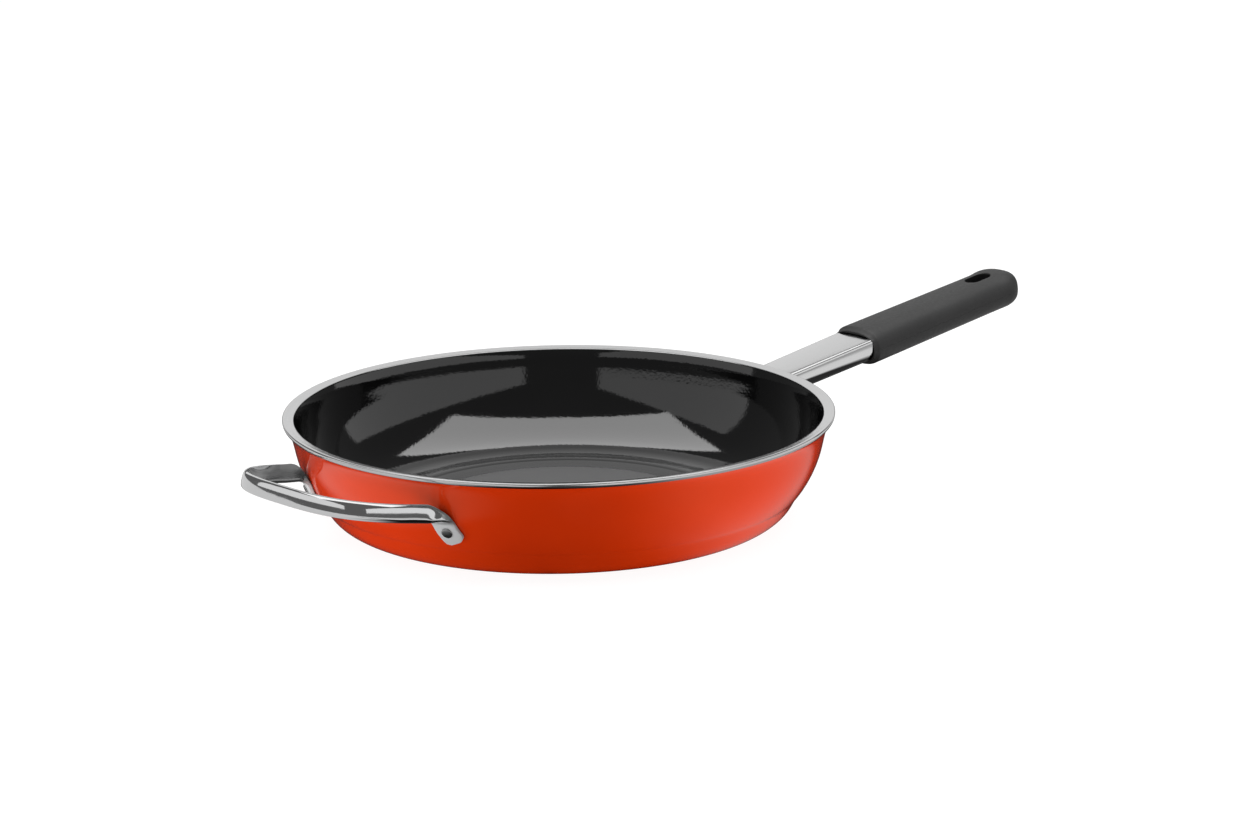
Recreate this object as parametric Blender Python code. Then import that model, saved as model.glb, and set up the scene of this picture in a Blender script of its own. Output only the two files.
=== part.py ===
"""Enamelled steel frying pan with a rim ring, a long handle and a helper handle.

The origin is the middle of the base's underside. +Z is up and +X runs along
the long handle. Every size below is in millimetres; MM turns it into metres.
"""

import math

import bmesh
import bpy
from mathutils import Vector

MM = 0.001

# --- pan body -------------------------------------------------------------
SEGMENTS = 48                 # facets round the pan
BASE_RADIUS = 104.8           # flat underside
BASE_THICKNESS = 4.2
CORNER_RADIUS = 17.7          # base to wall, outside
CORNER_LEAN = 32.0            # wall's lean from vertical where the corner ends
STEP = (123.5, 14.4)          # radius and height of the crease round the wall
WALL_RADIUS = 58.5            # curve of the wall above the crease
WALL_LEAN = (38.0, 13.0)      # lean from vertical at its lower and upper end
WALL_THICKNESS = 3.0
WALL_TOP = (136.0, 44.5)      # where the wall starts to flare
FLARE = ((137.15, 48.0), (138.3, 50.0))
FLANGE = (139.2, 51.9)        # outer edge of the rolled flange, underside
FLANGE_TOP = 53.0
LIP = (135.3, 53.1)           # inner edge of the cooking surface
FLOOR_RADIUS = 96.5           # flat cooking surface
COVE_RADIUS = 31.2
OUTER_COAT = (0.0, 0.13)      # share of the wall from its outside to its inside
STEEL = (0.145, 0.855)
INNER_COAT = (0.87, 1.0)
BASE_COAT_RADIUS = 103.2

# --- rim ring: a closed section round the flange ---------------------------
RIM_SECTION = (
    (135.0, 53.95), (135.6, 54.25), (139.9, 54.85), (140.6, 54.6),
    (140.85, 54.0), (140.6, 52.4), (140.1, 51.9), (139.55, 52.1),
    (139.6, 53.45), (135.1, 53.5),
)

# --- long handle: its own frame, s along it, y across, u up -----------------
HANDLE_RISE = 6.94            # degrees above the horizontal
HANDLE_AXIS_HEIGHT = 22.5     # where its axis meets the pan's axis
FIT = 0.3                     # gap between pieces that touch
NECK_START, NECK_END = 128.0, 262.0
MOUTH = 222.3                 # front edge of the grip
NECK_HALF_WIDTH = (12.7, 13.9)    # at the wall and at the grip's mouth
NECK_TOP = (5.3, 6.0)             # height of the top's edges
NECK_CROWN = 0.9
NECK_BOTTOM = -5.6
NECK_SHEET = 1.5
INSERT_START, INSERT_END = 176.0, 228.0
TANG = dict(start=139.0, end=302.0, half_width=6.6, low=1.3, high=3.5)
BRACKET = dict(end=162.0, half_width=4.4, low=-2.2, high=1.0, plate=2.4, plate_half_width=9.4)
BRACKET_STUD_OFFSET, BRACKET_STUD_HEIGHT = 6.9, 37.4
BRACKET_STUD = (1.3, 1.9, 0.8)        # shank radius, head radius, head height
GRIP_CHAMFER_END = 225.5
GRIP_END = 351.5
GRIP_HALF_WIDTH = 16.0
GRIP_HALF_HEIGHT = 10.55
GRIP_SQUARENESS = 2.6
GRIP_TAPER = 0.04
TAIL_LENGTH = 30.0
TAIL_HALF_WIDTH = 16.5
TAIL_HALF_HEIGHT = 10.6
TAIL_LIFT = 0.5
SLOT_CENTRE, SLOT_LENGTH, SLOT_WIDTH = 326.2, 17.4, 8.9
NECK_SCREW_AT, GRIP_SCREW_AT = 152.0, 246.0
SCREW_RADIUS, SCREW_HEAD_RADIUS, SCREW_HEAD = 2.2, 4.0, 2.2

# --- helper handle: loop of bar, and a foot at each end ---------------------
LOOP_START, LOOP_END = 126.3, 178.7   # distance from the pan's axis
LOOP_HALF_WIDTH = 51.0
LOOP_SQUARENESS = 2.94
LOOP_HEIGHT = (36.1, 46.3)            # at the pan and at its far end
BAR_HALF_WIDTH, BAR_HALF_HEIGHT = 3.4, 4.5
BAR_SQUARENESS = 3.4
BAR_TAPER = (0.3, 0.6)                # how much narrower its top is, outside and inside
PLATE_END, BAR_START = 12.0, 25.0     # along the bar from a foot's tip
FOOT_HALF_WIDTH, FOOT_HALF_THICKNESS = 5.8, 1.3
FOOT_BOTTOM, RIVET_HEIGHT, FOOT_TOP = 21.2, 27.0, 31.5
FOOT_ANGLE = (25.3, 23.9, 23.1)       # degrees off the -X axis at those heights
BEND = ((-126.8, 53.6, 35.0), (-131.6, 52.1, 37.2))   # the bar above the foot
HELPER_STUD = (2.0, 2.9, 0.9)


def clear_scene():
    for obj in list(bpy.data.objects):
        bpy.data.objects.remove(obj, do_unlink=True)


def material(name, colour, roughness, metallic=0.0, coat=0.0):
    mat = bpy.data.materials.new(name)
    mat.use_nodes = True
    shader = mat.node_tree.nodes["Principled BSDF"]
    shader.inputs["Base Color"].default_value = (*colour, 1.0)
    shader.inputs["Roughness"].default_value = roughness
    shader.inputs["Metallic"].default_value = metallic
    shader.inputs["Coat Weight"].default_value = coat
    return mat


def add_object(name, bm, mat, parent=None, sharp=35.0):
    """Turn a closed bmesh, in millimetres, into a smooth-shaded object."""
    bmesh.ops.recalc_face_normals(bm, faces=bm.faces)
    bmesh.ops.scale(bm, vec=(MM, MM, MM), verts=bm.verts)
    mesh = bpy.data.meshes.new(name)
    bm.to_mesh(mesh)
    bm.free()
    mesh.shade_smooth()
    mesh.set_sharp_from_angle(angle=math.radians(sharp))
    obj = bpy.data.objects.new(name, mesh)
    if mat:
        obj.data.materials.append(mat)
    bpy.context.scene.collection.objects.link(obj)
    obj.parent = parent
    return obj


def make_cutter(obj):
    obj.hide_render = True
    obj.display_type = "WIRE"
    return obj


def cut(obj, cutter):
    modifier = obj.modifiers.new(f"cut_{cutter.name}", "BOOLEAN")
    modifier.operation = "DIFFERENCE"
    modifier.solver = "EXACT"
    modifier.object = cutter


def revolved(section, segments=SEGMENTS):
    """Closed solid turned round Z from a closed (radius, height) section."""
    bm = bmesh.new()
    columns = []
    for radius, height in section:
        if radius < 1e-6:
            columns.append([bm.verts.new((0, 0, height))] * segments)
            continue
        turns = [2 * math.pi * k / segments for k in range(segments)]
        columns.append([
            bm.verts.new((radius * math.cos(a), radius * math.sin(a), height))
            for a in turns
        ])
    for this, after in zip(columns, columns[1:] + columns[:1]):
        for k in range(segments):
            j = (k + 1) % segments
            corners = [this[k], this[j], after[j], after[k]]
            face = [v for i, v in enumerate(corners) if v not in corners[:i]]
            if len(face) > 2:
                bm.faces.new(face)
    return bm


def lofted(rings):
    """Closed solid through equal rings of points, with flat end caps."""
    bm = bmesh.new()
    loops = [[bm.verts.new(point) for point in ring] for ring in rings]
    count = len(loops[0])
    for this, after in zip(loops, loops[1:]):
        for k in range(count):
            j = (k + 1) % count
            bm.faces.new((this[k], this[j], after[j], after[k]))
    bm.faces.new(loops[0][::-1])
    bm.faces.new(loops[-1])
    return bm


def superellipse(half_a, half_b, squareness, count):
    """Points round a rounded box: 2 is an ellipse, more is squarer."""
    points = []
    for k in range(count):
        angle = 2 * math.pi * (k + 0.5) / count
        c, s = math.cos(angle), math.sin(angle)
        power = 2 / squareness
        points.append((
            math.copysign(abs(c) ** power, c) * half_a,
            math.copysign(abs(s) ** power, s) * half_b,
        ))
    return points


def blend(pair, share):
    return pair[0] + (pair[1] - pair[0]) * share


# --- pan body ---------------------------------------------------------------

def ease(share):
    """Slow start and end between 0 and 1."""
    share = min(max(share, 0.0), 1.0)
    return share * share * (3 - 2 * share)


def lean_point(point, lean, distance):
    """The point this far inside a wall that leans by this many degrees."""
    angle = math.radians(lean)
    return point[0] - distance * math.cos(angle), point[1] + distance * math.sin(angle)


def wall_outline():
    """Pairs of (outside, inside) points from the base's middle to the flange."""
    pairs = [
        ((0.0, 0.0), (0.0, BASE_THICKNESS)),
        ((BASE_RADIUS, 0.12), (FLOOR_RADIUS, BASE_THICKNESS)),
    ]
    inner_step = lean_point(STEP, WALL_LEAN[0], WALL_THICKNESS)
    cove_turn = math.asin(1 - (inner_step[1] - BASE_THICKNESS) / COVE_RADIUS)
    corner_turn = math.radians(CORNER_LEAN)
    corner_end_height = CORNER_RADIUS * (1 - math.sin(corner_turn))
    corner_steps = 3
    for k in range(1, corner_steps + 1):
        turn = math.pi / 2 + (corner_turn - math.pi / 2) * k / corner_steps
        outer = (
            BASE_RADIUS + CORNER_RADIUS * math.cos(turn),
            corner_end_height - CORNER_RADIUS * (math.sin(turn) - math.sin(corner_turn)),
        )
        turn = math.pi / 2 + (cove_turn - math.pi / 2) * k / (corner_steps + 1)
        inner = (
            FLOOR_RADIUS + COVE_RADIUS * math.cos(turn),
            BASE_THICKNESS + COVE_RADIUS * (1 - math.sin(turn)),
        )
        pairs.append((outer, inner))
    wall_steps = 3
    low, high = (math.radians(lean) for lean in WALL_LEAN)
    for k in range(wall_steps + 1):
        turn = low + (high - low) * k / wall_steps
        outer = (
            STEP[0] + WALL_RADIUS * (math.cos(turn) - math.cos(low)),
            STEP[1] + WALL_RADIUS * (math.sin(low) - math.sin(turn)),
        )
        pairs.append((outer, lean_point(outer, math.degrees(turn), WALL_THICKNESS)))
    pairs += [
        (WALL_TOP, (133.1, 45.1)),
        (FLARE[0], (133.7, 48.9)),
        (FLARE[1], (134.4, 51.6)),
        ((FLANGE[0] - 0.6, FLANGE[1] - 0.9), LIP),
        (FLANGE, (FLANGE[0], FLANGE_TOP)),
    ]
    return pairs


def layer(pairs, share):
    return [
        (blend((outer[0], inner[0]), share), blend((outer[1], inner[1]), share))
        for outer, inner in pairs
    ]


def shell_section(pairs, shares):
    return layer(pairs, shares[0]) + layer(pairs, shares[1])[::-1]


def wall_radius_at(height):
    """Outside radius of the wall at this height."""
    outline = [outer for outer, _ in wall_outline()]
    for (r0, z0), (r1, z1) in zip(outline, outline[1:]):
        if z0 <= height <= z1 and z1 > z0:
            return r0 + (r1 - r0) * (height - z0) / (z1 - z0)
    raise ValueError("no wall at that height")


def wall_normal_at(height):
    """Outward (radius, height) direction of the wall at this height."""
    rise = 2.0
    run = wall_radius_at(height + rise) - wall_radius_at(height - rise)
    return Vector((2 * rise, -run)).normalized()


def build_body():
    pairs = wall_outline()
    steel = material("core_steel", (0.42, 0.42, 0.43), 0.45, 1.0)
    black = material("black_enamel", (0.012, 0.012, 0.013), 0.08, 0.0, 1.0)
    red = material("red_orange_enamel", (0.62, 0.045, 0.01), 0.08, 0.0, 1.0)
    grey = material("base_enamel", (0.03, 0.03, 0.032), 0.3)
    bright = material("polished_steel", (0.78, 0.78, 0.78), 0.1, 1.0)
    add_object("steel_body", revolved(shell_section(pairs, STEEL)), steel)
    outer = add_object("outer_enamel", revolved(shell_section(pairs[1:-1], OUTER_COAT)), red)
    add_object("inner_enamel", revolved(shell_section(pairs[:-1], INNER_COAT)), black)
    coat = BASE_THICKNESS * OUTER_COAT[1]
    base = [(0, 0), (BASE_COAT_RADIUS, 0), (BASE_COAT_RADIUS, coat), (0, coat)]
    add_object("base_enamel", revolved(base), grey)
    add_object("rim_ring", revolved(RIM_SECTION), bright)
    return outer, bright


# --- studs welded to the steel body ------------------------------------------

def wall_frame(name, angle, height):
    """Empty on the wall's outside face, its Z axis along the wall's normal."""
    radius = wall_radius_at(height)
    out, up = wall_normal_at(height)
    normal = Vector((out * math.cos(angle), out * math.sin(angle), up))
    empty = bpy.data.objects.new(name, None)
    bpy.context.scene.collection.objects.link(empty)
    empty.rotation_mode = "QUATERNION"
    empty.rotation_quaternion = normal.to_track_quat("Z", "Y")
    empty.location = Vector((radius * math.cos(angle), radius * math.sin(angle), height)) * MM
    return empty


def build_stud(name, angle, height, plate, size, nodes, mat):
    """Stud from the steel body through the coat and a plate, with its head."""
    coat_node, holed_node = nodes
    radius, head_radius, head_height = size
    frame = wall_frame(f"{name}_frame", angle, height)
    foot = -WALL_THICKNESS * STEEL[0] + FIT
    head = plate + FIT
    section = [(0, foot), (radius, foot), (radius, head), (head_radius, head),
               (head_radius * 0.93, head + head_height * 0.5),
               (head_radius * 0.6, head + head_height), (0, head + head_height)]
    add_object(name, revolved(section, 16), mat, frame)
    hole = [(0, -3), (radius + FIT, -3), (radius + FIT, plate), (head_radius + FIT, plate),
            (head_radius + FIT, plate + 6), (0, plate + 6)]
    cutter = make_cutter(add_object(f"{name}_hole", revolved(hole, 16), None, frame))
    cut(coat_node, cutter)
    cut(holed_node, cutter)


# --- long handle --------------------------------------------------------------

def neck_shares(s):
    return min(max((s - 141.0) / (MOUTH - 141.0), 0.0), 1.0)


def neck_outside(s, grow=0.0):
    """Outside of the neck's section, from one lower edge over the top to the other."""
    share = neck_shares(s)
    width = blend(NECK_HALF_WIDTH, share) + grow
    top = blend(NECK_TOP, share) + grow
    bottom = NECK_BOTTOM - max(grow, 0.0)
    edge = width - 1.5
    side = [(width - 3.6, bottom), (width - 1.3, bottom + 2.4), (width - 0.1, bottom + 5.0),
            (width, top - 2.6), (width - 0.4, top - 0.8), (edge, top)]
    crown = [(edge * k / 3, top + NECK_CROWN * (1 - (k / 3) ** 2)) for k in (2, 1, 0, -1, -2)]
    return side + crown + [(-y, u) for y, u in reversed(side)]


def neck_ring(s):
    """Closed ring of the channel's section: outside, then inside back again."""
    return neck_outside(s), neck_outside(s, -NECK_SHEET)


def build_neck(parent, mat, wall_cutter):
    bm = bmesh.new()
    rings = []
    for s in (NECK_START, 150.0, 175.0, 200.0, MOUTH, NECK_END):
        outside, inside = neck_ring(s)
        rings.append((
            [bm.verts.new((s, y, u)) for y, u in outside],
            [bm.verts.new((s, y, u)) for y, u in inside],
        ))
    count = len(rings[0][0])
    for (out_a, in_a), (out_b, in_b) in zip(rings, rings[1:]):
        for k in range(count - 1):
            bm.faces.new((out_a[k], out_a[k + 1], out_b[k + 1], out_b[k]))
            bm.faces.new((in_a[k + 1], in_a[k], in_b[k], in_b[k + 1]))
        for k in (0, count - 1):
            bm.faces.new((out_a[k], out_b[k], in_b[k], in_a[k]))
    for outside, inside in (rings[0], rings[-1]):
        for k in range(count - 1):
            bm.faces.new((outside[k], outside[k + 1], inside[k + 1], inside[k]))
    neck = add_object("handle_neck", bm, mat, parent, 25.0)
    cut(neck, wall_cutter)


def block(s_range, half_width, u_range):
    (s0, s1), (u0, u1) = s_range, u_range
    ring = [(-half_width, u0), (half_width, u0), (half_width, u1), (-half_width, u1)]
    return lofted([[(s, y, u) for y, u in ring] for s in (s0, s1)])


def build_insert(parent, mat):
    """Strip that closes the channel from below: a lip under its edges, a tongue in the grip."""
    rings = []
    low, high = NECK_BOTTOM - FIT, NECK_BOTTOM + 2.0
    for s in (INSERT_START, MOUTH - FIT):
        web = neck_ring(s)[1][0][0] - FIT
        lip = web + NECK_SHEET * 0.9
        ring = [(-lip, low - 0.75), (lip, low - 0.75), (lip, low), (web, low),
                (web, high), (-web, high), (-web, low), (-lip, low)]
        rings.append([(s, y, u) for y, u in ring])
    insert = add_object("neck_insert", lofted(rings), mat, parent)
    tongue = block((MOUTH - 6, INSERT_END), web - 0.4, (NECK_BOTTOM + 0.1, high - 0.2))
    join = insert.modifiers.new("join_tongue", "BOOLEAN")
    join.operation = "UNION"
    join.solver = "EXACT"
    join.object = make_cutter(add_object("insert_tongue", tongue, None, parent))


def build_bracket(parent, mat, wall_cutter):
    """Curved plate on the wall with a lug that carries the neck's screw."""
    size = BRACKET
    bm = block((130.0, size["end"]), size["half_width"], (size["low"], size["high"]))
    bracket = add_object("handle_bracket", bm, mat, parent)
    plate = add_object("bracket_plate", block((130.0, 136.6 + size["plate"]),
                       size["plate_half_width"], (-2.9, 1.0)), None, parent)
    join = bracket.modifiers.new("join_plate", "BOOLEAN")
    join.operation = "UNION"
    join.solver = "EXACT"
    join.object = make_cutter(plate)
    cut(bracket, wall_cutter)
    return bracket


def build_screw(name, at, seat, top, parent, mat, holed):
    """Screw from below: head under the seat, shank up to the top."""
    section = [(0, seat - SCREW_HEAD), (SCREW_HEAD_RADIUS * 0.8, seat - SCREW_HEAD),
               (SCREW_HEAD_RADIUS, seat - SCREW_HEAD * 0.6), (SCREW_HEAD_RADIUS, seat - FIT),
               (SCREW_RADIUS, seat - FIT), (SCREW_RADIUS, top), (0, top)]
    screw = add_object(name, revolved(section, 16), mat, parent)
    screw.location = (at * MM, 0, 0)
    hole_radius = SCREW_RADIUS + FIT
    hole = [(0, -30), (hole_radius, -30), (hole_radius, 30), (0, 30)]
    cutter = make_cutter(add_object(f"{name}_hole", revolved(hole, 16), None, parent))
    cutter.location = (at * MM, 0, 0)
    for node in holed:
        cut(node, cutter)
    return screw


def grip_rings():
    """Outer rings of the grip: chamfered mouth, slight taper, rounded tail."""
    tail_start = GRIP_END - TAIL_LENGTH
    rings = [(MOUTH, GRIP_HALF_WIDTH - 1.3, GRIP_HALF_HEIGHT - 1.9, 0.0)]
    for s in (GRIP_CHAMFER_END, 260.0, 300.0, tail_start):
        shrink = 1 - GRIP_TAPER * (s - GRIP_CHAMFER_END) / (tail_start - GRIP_CHAMFER_END)
        rings.append((s, GRIP_HALF_WIDTH * shrink, GRIP_HALF_HEIGHT * shrink, 0.0))
    full_width, full_height = rings[-1][1], rings[-1][2]
    cap_steps = 7
    for k in range(1, cap_steps + 1):
        swell = min(k / 3.0, 1.0)
        width = blend((full_width, TAIL_HALF_WIDTH), swell)
        height = blend((full_height, TAIL_HALF_HEIGHT), swell)
        if k <= 2:
            s = tail_start + (TAIL_LENGTH - TAIL_HALF_WIDTH) * k / 2
            rings.append((s, width, height, TAIL_LIFT * swell))
            continue
        angle = math.pi / 2 * (k - 2) / (cap_steps - 2) * 0.97
        s = GRIP_END - TAIL_HALF_WIDTH * (1 - math.sin(angle))
        narrow = math.cos(angle)
        rings.append((s, width * narrow, height * narrow ** 0.7, TAIL_LIFT))
    return rings


def build_grip(parent, mat):
    count = 28
    bm = lofted([
        [(s, y, u + lift) for y, u in superellipse(width, height, GRIP_SQUARENESS, count)]
        for s, width, height, lift in grip_rings()
    ])
    grip = add_object("grip", bm, mat, parent, 30.0)
    pocket = lofted([[(s, y, u) for y, u in neck_outside(s, FIT)]
                     for s in (MOUTH - 8, MOUTH, NECK_END + FIT)])
    cut(grip, make_cutter(add_object("neck_pocket", pocket, None, parent)))
    size = TANG
    tang_pocket = block((NECK_END - 2, size["end"] + FIT), size["half_width"] + FIT,
                        (size["low"] - FIT, size["high"] + FIT))
    cut(grip, make_cutter(add_object("tang_pocket", tang_pocket, None, parent)))
    slot = bmesh.new()
    corners = []
    radius = SLOT_WIDTH / 2
    reach = SLOT_LENGTH / 2 - radius
    for k in range(20):
        angle = 2 * math.pi * (k + 0.5) / 20
        shift = math.copysign(reach, math.cos(angle))
        corners.append((SLOT_CENTRE + shift + radius * math.cos(angle), radius * math.sin(angle)))
    low = [slot.verts.new((s, y, -20)) for s, y in corners]
    high = [slot.verts.new((s, y, 20)) for s, y in corners]
    for k in range(20):
        j = (k + 1) % 20
        slot.faces.new((low[k], low[j], high[j], high[k]))
    slot.faces.new(low[::-1])
    slot.faces.new(high)
    cut(grip, make_cutter(add_object("hanging_slot", slot, None, parent)))
    return grip


def build_handle(outer_coat, bright, wall_cutter):
    frame = bpy.data.objects.new("handle_axis", None)
    bpy.context.scene.collection.objects.link(frame)
    frame.location = (0, 0, HANDLE_AXIS_HEIGHT * MM)
    frame.rotation_euler = (0, -math.radians(HANDLE_RISE), 0)
    steel = material("handle_steel", (0.5, 0.5, 0.5), 0.35, 1.0)
    black = material("black_grip", (0.03, 0.03, 0.03), 0.55)
    build_neck(frame, bright, wall_cutter)
    build_insert(frame, black)
    bracket = build_bracket(frame, steel, wall_cutter)
    size = TANG
    tang = block((size["start"], size["end"]), size["half_width"], (size["low"], size["high"]))
    tang = add_object("handle_tang", tang, steel, frame)
    cut(tang, wall_cutter)
    grip = build_grip(frame, black)
    build_screw("neck_screw", NECK_SCREW_AT, BRACKET["low"], size["high"] - 0.4, frame, steel,
                (bracket, tang))
    screw_seat = -GRIP_HALF_HEIGHT + 3.2
    build_screw("grip_screw", GRIP_SCREW_AT, screw_seat, size["high"] - 0.4, frame, steel,
                (grip, tang))
    head_hole = [(0, -30), (SCREW_HEAD_RADIUS + FIT, -30), (SCREW_HEAD_RADIUS + FIT, screw_seat),
                 (0, screw_seat)]
    cutter = make_cutter(add_object("grip_screw_recess", revolved(head_hole, 16), None, frame))
    cutter.location = (GRIP_SCREW_AT * MM, 0, 0)
    cut(grip, cutter)
    for side, name in ((1, "left"), (-1, "right")):
        angle = math.asin(side * BRACKET_STUD_OFFSET / wall_radius_at(BRACKET_STUD_HEIGHT))
        build_stud(f"bracket_stud_{name}", angle, BRACKET_STUD_HEIGHT, BRACKET["plate"] + FIT,
                   BRACKET_STUD, (outer_coat, bracket), steel)


# --- helper handle --------------------------------------------------------------

def foot_point(height, angle, distance):
    out, up = wall_normal_at(height)
    radius = wall_radius_at(height) + distance * out
    angle = math.radians(angle)
    return Vector((-radius * math.cos(angle), radius * math.sin(angle), height + distance * up))


def helper_path():
    """Middle line of half the loop, from one foot's tip to the loop's far end."""
    distance = FIT + FOOT_HALF_THICKNESS
    heights = (FOOT_BOTTOM, RIVET_HEIGHT, FOOT_TOP)
    foot = [foot_point(h, a, distance) for h, a in zip(heights, FOOT_ANGLE)]
    loop = []
    steps = 9
    for k in range(steps):
        turn = math.pi / 2 * k / (steps - 1)
        out = LOOP_START + (LOOP_END - LOOP_START) * math.sin(turn) ** (2 / LOOP_SQUARENESS)
        across = LOOP_HALF_WIDTH * math.cos(turn) ** (2 / LOOP_SQUARENESS)
        share = (out - LOOP_START) / (LOOP_END - LOOP_START)
        loop.append(Vector((-out, across, blend(LOOP_HEIGHT, share))))
    return foot, [point for point in loop if point.x < -138.0]


def smooth_curve(points, steps):
    """Points along a Catmull-Rom curve through these."""
    ends = [2 * points[0] - points[1]] + points + [2 * points[-1] - points[-2]]
    curve = []
    for a, b, c, d in zip(ends, ends[1:], ends[2:], ends[3:]):
        for k in range(steps):
            t = k / steps
            curve.append(0.5 * ((2 * b) + (c - a) * t + (2 * a - 5 * b + 4 * c - d) * t ** 2
                                + (3 * b - a - 3 * c + d) * t ** 3))
    return curve + [points[-1]]


def build_helper(outer_coat, bright, wall_cutter):
    foot, loop = helper_path()
    bend = [Vector(point) for point in BEND]
    half = smooth_curve(foot + bend + loop, 2)
    foot_turn = math.radians(FOOT_ANGLE[1])
    tangent = Vector((math.sin(foot_turn), math.cos(foot_turn), 0.0))
    rings_half = []
    count = 16
    length = 0.0
    for k, point in enumerate(half):
        before = half[max(k - 1, 0)]
        after = half[min(k + 1, len(half) - 1)]
        length += (point - before).length
        along = (after - before).normalized()
        if k == len(half) - 1:
            along = Vector((0, -1, 0))
        level = along.cross(Vector((0, 0, 1))).normalized()
        across = tangent.lerp(level, ease((length - PLATE_END - 2.0) / (BAR_START - PLATE_END)))
        across = (across - along * across.dot(along)).normalized()
        thick = across.cross(along).normalized()
        grow = ease((length - PLATE_END) / (BAR_START - PLATE_END))
        width = blend((FOOT_HALF_WIDTH, BAR_HALF_WIDTH), grow)
        height = blend((FOOT_HALF_THICKNESS, BAR_HALF_HEIGHT), grow)
        squareness = blend((4.5, BAR_SQUARENESS), grow)
        if k == 0:
            width *= 0.72
        ring = []
        for a, b in superellipse(width, height, squareness, count):
            taper = blend((0.0, BAR_TAPER[0] if a > 0 else BAR_TAPER[1]), grow)
            ring.append(point + across * a * (1 - taper * b / height) + thick * b)
        rings_half.append(ring)
    mirrored = [[Vector((p.x, -p.y, p.z)) for p in ring] for ring in rings_half[-2::-1]]
    helper = add_object("helper_handle", lofted(rings_half + mirrored), bright, None, 30.0)
    cut(helper, wall_cutter)
    steel = material("stud_steel", (0.6, 0.6, 0.6), 0.3, 1.0)
    for side, name in ((1, "left"), (-1, "right")):
        angle = math.pi - side * math.radians(FOOT_ANGLE[1])
        build_stud(f"helper_stud_{name}", angle, RIVET_HEIGHT, 2 * FOOT_HALF_THICKNESS + FIT,
                   HELPER_STUD, (outer_coat, helper), steel)


def build_wall_cutter():
    """What the handles' feet are shaped to: the wall's outside, a fit's width out."""
    outline = [outer for outer, _ in wall_outline() if 10.0 < outer[1] < 50.5]
    section = [(r + FIT, z) for r, z in outline]
    section = [(0, section[0][1])] + section + [(0, section[-1][1])]
    return make_cutter(add_object("wall_cutter", revolved(section), None))


clear_scene()
coat, polished = build_body()
wall_shape = build_wall_cutter()
build_handle(coat, polished, wall_shape)
build_helper(coat, polished, wall_shape)
bpy.context.view_layer.update()
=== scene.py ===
"""Looks for an enamelled steel frying pan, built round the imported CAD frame.

The frame's origin is the middle of the base's underside, +Z is up and +X runs
along the long handle. Sizes below are in millimetres; MM makes them metres.
"""

import math

import bmesh
import bpy
from mathutils import Matrix, Vector


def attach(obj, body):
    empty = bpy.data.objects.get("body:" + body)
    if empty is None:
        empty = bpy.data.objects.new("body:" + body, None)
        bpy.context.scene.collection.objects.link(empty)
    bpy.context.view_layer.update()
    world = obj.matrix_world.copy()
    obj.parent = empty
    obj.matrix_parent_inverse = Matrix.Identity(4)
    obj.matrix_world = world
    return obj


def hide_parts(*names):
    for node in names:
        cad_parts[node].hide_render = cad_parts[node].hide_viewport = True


MM = 0.001
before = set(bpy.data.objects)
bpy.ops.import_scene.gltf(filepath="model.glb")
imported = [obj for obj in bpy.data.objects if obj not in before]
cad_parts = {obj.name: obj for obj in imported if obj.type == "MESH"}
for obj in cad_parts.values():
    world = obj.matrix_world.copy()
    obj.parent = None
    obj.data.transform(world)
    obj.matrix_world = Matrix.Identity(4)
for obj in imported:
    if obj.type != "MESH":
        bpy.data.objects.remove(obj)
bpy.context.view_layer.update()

# --- the pan's driving sizes, as in the CAD ----------------------------------
SEGMENTS = 240
BASE_RADIUS = 104.8
BASE_THICKNESS = 4.2
CORNER_RADIUS, CORNER_LEAN = 17.7, 32.0
STEP = (123.5, 14.4)
WALL_RADIUS, WALL_LEAN = 58.5, (38.0, 13.0)
WALL_STEPS = 24
WALL_THICKNESS = 3.0
WALL_TOP = (136.0, 44.5)
FLANGE_EDGE = (139.5, 52.05)
FLOOR_RADIUS, COVE_RADIUS = 96.5, 31.2
COAT = 0.4                        # thickness of each enamel layer
CORE_GAP = 0.03                   # gap between a layer and the steel
FLARE = [(137.05, 48.0), (138.25, 50.6)]
INNER_FLARE = [(133.05, 45.1), (133.65, 48.9), (134.3, 51.8), (134.95, 53.4)]
# Radius, and depth below the cooking surface, of its shallow rings.
FLOOR_RINGS = [(20, 0), (40, 0), (60, 0), (70.4, 0), (71.2, 0.03), (72.2, 0.16), (73.2, 0.29),
               (74.2, 0.33), (86.0, 0.30), (86.8, 0.27), (87.6, 0.14), (88.4, 0.02), (92.0, 0)]
BASE_SECTION = [(0, 0.55), (0, 0.22), (30, 0.22), (30.6, 0.12), (31.4, 0.12), (32, 0.22),
                (62, 0.22), (62.6, 0.12), (63.4, 0.12), (64, 0.22), (90.5, 0.22), (91.4, 0.05),
                (92.6, 0.0), (101.8, 0.0), (102.8, 0.06), (103.25, 0.25), (103.25, 0.55)]
RIM = [(135.0, 53.8), (135.45, 54.05), (137.6, 54.4), (139.7, 54.72), (140.45, 54.66),
       (140.83, 54.2), (140.78, 53.4), (140.55, 52.7), (140.1, 52.2), (139.45, 52.3)]
RIM_UNDERSIDE = [(139.42, 53.3), (135.1, 53.42)]

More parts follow.
